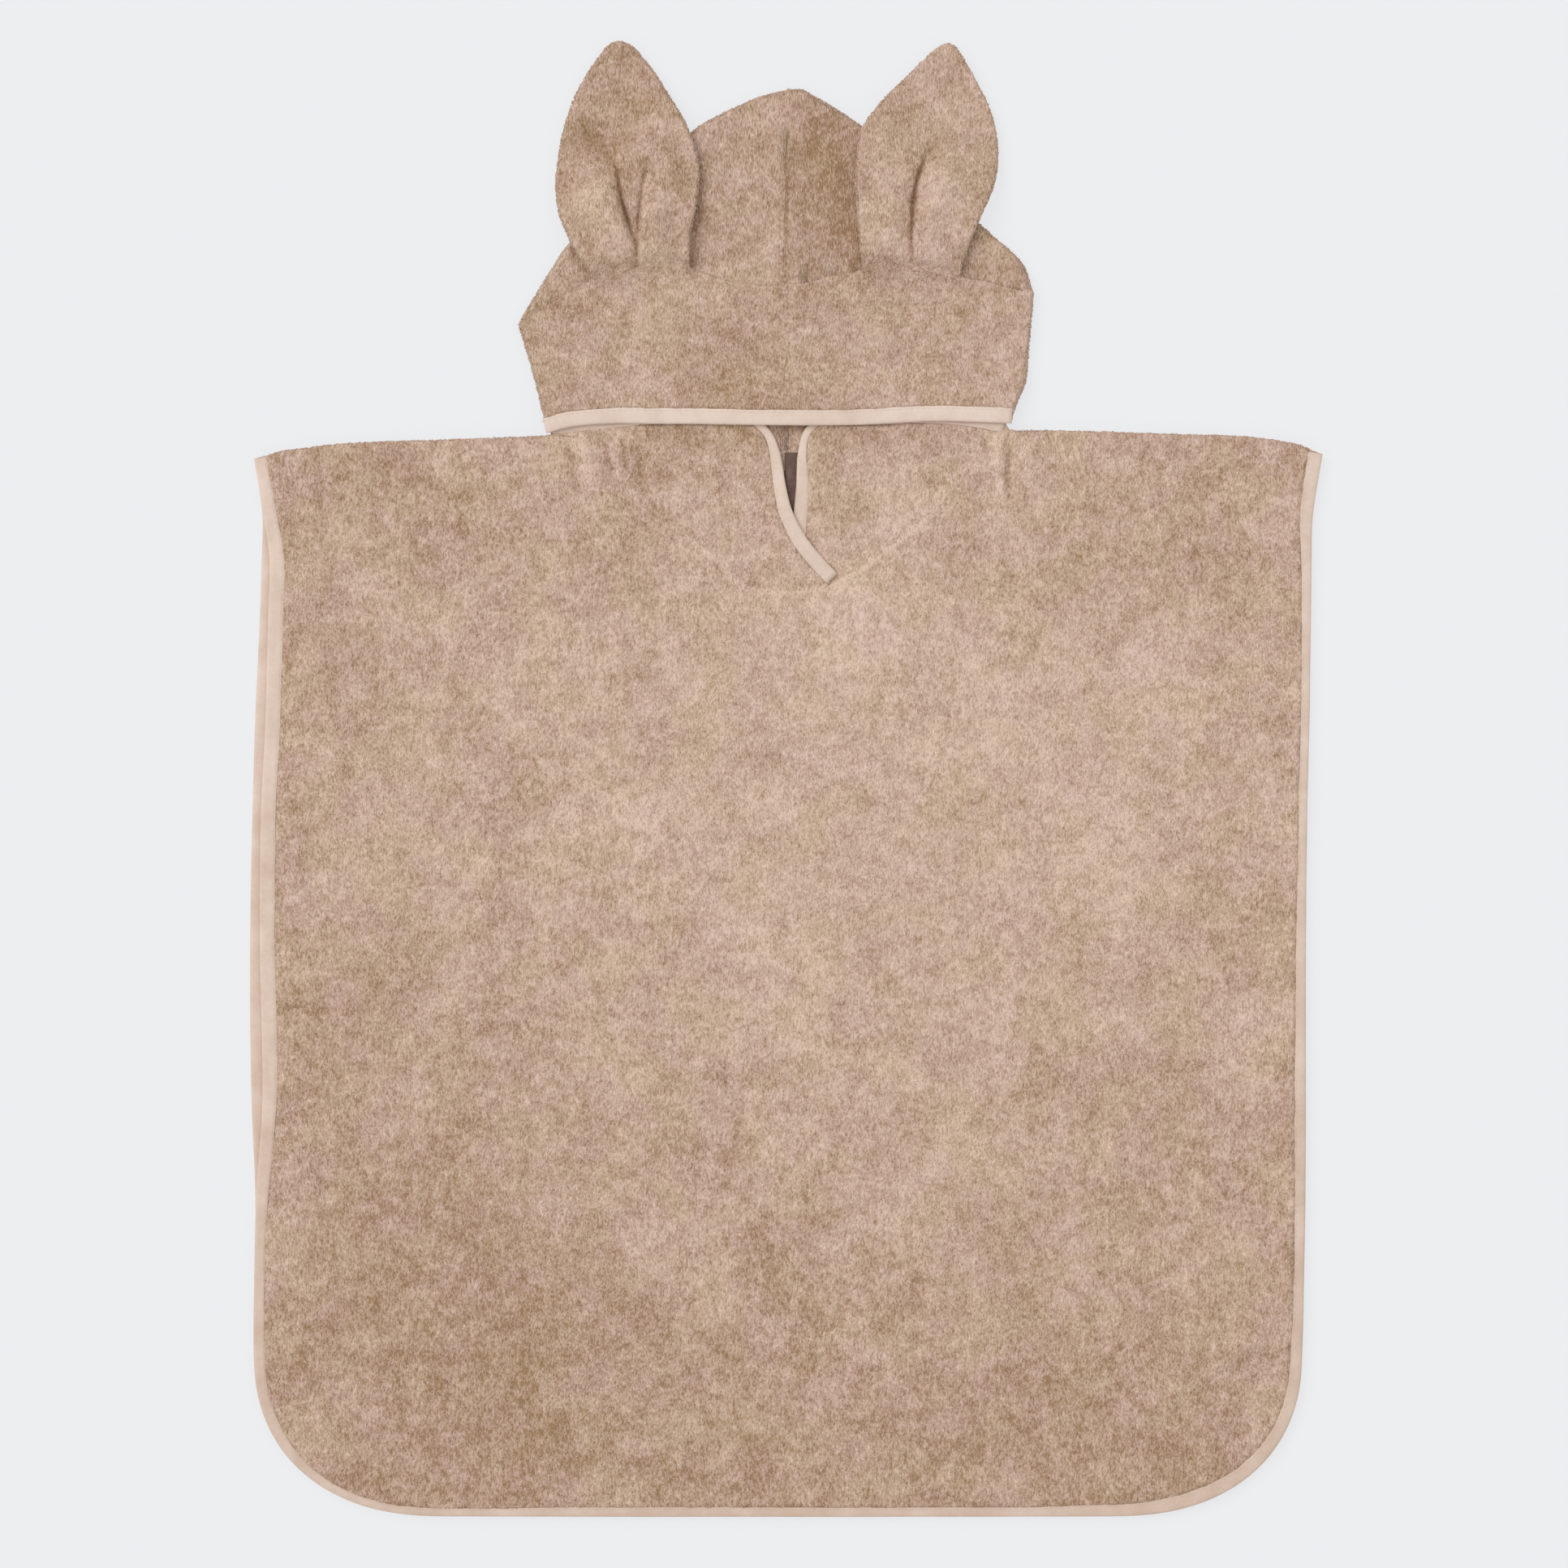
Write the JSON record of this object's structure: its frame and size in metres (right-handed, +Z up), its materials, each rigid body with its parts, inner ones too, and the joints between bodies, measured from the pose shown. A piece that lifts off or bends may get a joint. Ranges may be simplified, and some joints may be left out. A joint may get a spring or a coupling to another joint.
{
  "type": "hooded bath poncho",
  "caption": "Towelling bath poncho for a small child, laid flat: a wide body with a hood, animal ears, a lapped throat slit and taped edges.",
  "frame": {"origin": "on the surface that the poncho lies on, at the middle of its outline", "axes": "+Y from the hem towards the hood, +X to the right as seen from above, +Z up out of the garment's front"},
  "size_m": [0.614, 0.844, 0.0155],
  "materials": {
    "terry": "soft cotton terry towelling in a mottled warm beige",
    "tape": "smooth pale binding tape, folded over the edges and stitched",
    "label": "plain dark woven tape, bare"
  },
  "bodies": {
    "root": {"body_front": "terry", "body_back": "terry", "hood_left": "terry", "hood_right": "terry", "hood_band": "terry", "throat_left": "terry", "throat_right": "terry", "ear_left_front": "terry", "ear_left_back": "terry", "ear_right_front": "terry", "ear_right_back": "terry", "binding_front": "tape", "binding_back": "tape", "binding_face": "tape", "binding_throat_left": "tape", "binding_throat_right": "tape", "neck_label": "label"}
  },
  "joints": []
}
